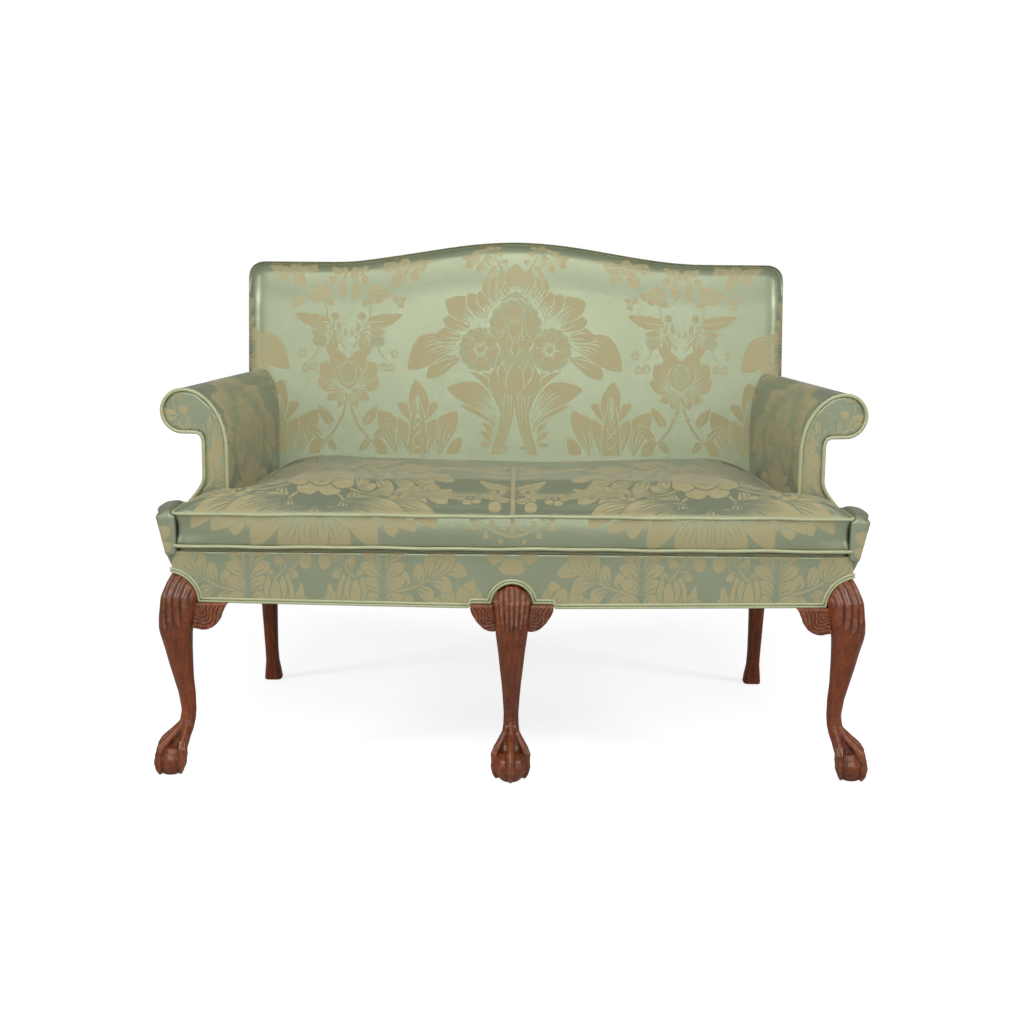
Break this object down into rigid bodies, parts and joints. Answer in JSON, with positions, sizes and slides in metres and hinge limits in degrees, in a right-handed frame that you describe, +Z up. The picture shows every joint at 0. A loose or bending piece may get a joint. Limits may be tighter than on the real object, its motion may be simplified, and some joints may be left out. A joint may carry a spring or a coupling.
{
  "type": "sofa",
  "caption": "Camelback sofa with scrolled arms, carved cabriole front legs on claw-and-ball feet, raked rear legs and a loose T-shaped seat cushion in damask.",
  "frame": {"origin": "on the floor, under the centre of the whole sofa's bounding box", "axes": "+X along the seat to the right of someone facing the sofa, +Y from the front to the back, +Z up"},
  "size_m": [1.3718, 0.7888, 1.0126],
  "materials": {
    "mahogany": "polished, darker in the carving",
    "beech": "plain, unfinished",
    "damask": "satin ground with a matt woven pattern",
    "piping": "satin",
    "webbing": "coarse weave",
    "hessian": "open weave",
    "black_cloth": "matt",
    "deck_cloth": "matt cotton",
    "ticking": "matt cotton"
  },
  "bodies": {
    "frame": {"back_centre_upright": "beech", "back_crest_rail": "beech", "back_hessian": "hessian", "back_lower_rail": "beech", "back_pad": "damask", "back_seat_rail": "beech", "back_webbing": "webbing", "bottom_cloth": "black_cloth", "centre_front_leg": "mahogany", "centre_leg_brackets": "mahogany", "corner_blocks": "beech", "front_rail_cover": "damask", "front_seat_rail": "beech", "left_arm_facing": "damask", "left_arm_facing_piping": "piping", "left_arm_front_post": "beech", "left_arm_lower_rail": "beech", "left_arm_outside_panel": "damask", "left_arm_pad": "damask", "left_arm_top_rail": "beech", "left_back_upright": "beech", "left_front_leg": "mahogany", "left_leg_brackets": "mahogany", "left_rear_leg": "mahogany", "left_side_ledge": "damask", "left_side_rail_cover": "damask", "left_side_seat_rail": "beech", "outside_back_panel": "damask", "rail_double_welt": "piping", "right_arm_facing": "damask", "right_arm_facing_piping": "piping", "right_arm_front_post": "beech", "right_arm_lower_rail": "beech", "right_arm_outside_panel": "damask", "right_arm_pad": "damask", "right_arm_top_rail": "beech", "right_back_upright": "beech", "right_front_leg": "mahogany", "right_leg_brackets": "mahogany", "right_rear_leg": "mahogany", "right_side_ledge": "damask", "right_side_rail_cover": "damask", "right_side_seat_rail": "beech", "seat_cross_rail": "beech", "seat_deck_pad": "deck_cloth", "seat_hessian": "hessian", "seat_webbing": "webbing"},
    "seat_cushion": {"seat_cushion_case": "damask", "seat_cushion_insert": "ticking", "seat_cushion_piping": "piping"}
  },
  "joints": [
    {"name": "cushion_lift", "type": "slide", "parent": "frame", "child": "seat_cushion", "axis": [0, 0, 1], "range_m": [0, 0.45]}
  ]
}
